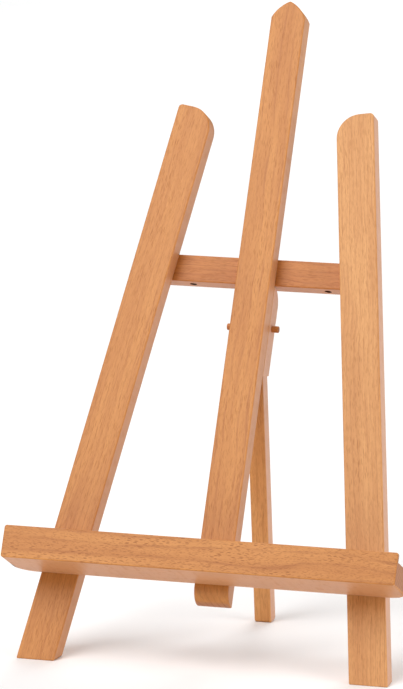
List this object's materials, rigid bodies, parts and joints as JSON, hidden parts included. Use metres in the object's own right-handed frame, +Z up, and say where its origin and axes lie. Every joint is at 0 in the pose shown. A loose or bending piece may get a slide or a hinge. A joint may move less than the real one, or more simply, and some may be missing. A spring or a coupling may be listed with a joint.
{
  "type": "tabletop easel",
  "caption": "Tabletop A-frame easel in beech: pointed mast, splayed legs, crossbar, lipped ledge for a canvas, and a rear leg that folds on a dowel.",
  "frame": {"origin": "on the floor, under the centre of the bounding box, with the rear leg open", "axes": "+Z up, -Y towards the front where the canvas faces, +X across to the viewer's right"},
  "size_m": [0.3, 0.2518, 0.4656],
  "materials": {
    "left_leg": "oiled beech",
    "right_leg": "oiled beech",
    "mast": "oiled beech",
    "crossbar": "oiled beech",
    "ledge": "oiled beech",
    "hinge_cheek_left": "oiled beech",
    "hinge_cheek_right": "oiled beech",
    "hinge_dowel": "oiled beech",
    "rear_leg": "oiled beech",
    "screw": "zinc plated"
  },
  "bodies": {
    "frame": {"left_leg": "left_leg", "right_leg": "right_leg", "mast": "mast", "crossbar": "crossbar", "ledge": "ledge", "hinge_cheek_left": "hinge_cheek_left", "hinge_cheek_right": "hinge_cheek_right", "hinge_dowel": "hinge_dowel", "crossbar_screw_left": "screw", "crossbar_screw_mast_left": "screw", "crossbar_screw_mast_right": "screw", "crossbar_screw_right": "screw", "ledge_screw_left": "screw", "ledge_screw_mast": "screw", "ledge_screw_right": "screw", "cheek_screw_left_lower": "screw", "cheek_screw_left_upper": "screw", "cheek_screw_right_lower": "screw", "cheek_screw_right_upper": "screw"},
    "rear_leg": {"rear_leg": "rear_leg"}
  },
  "joints": [
    {"name": "rear_leg_fold", "type": "hinge", "parent": "frame", "child": "rear_leg", "pos_m": [0, 0.02275, 0.23092], "axis": [-1, 0, 0], "range_deg": [0, 32.8]}
  ]
}
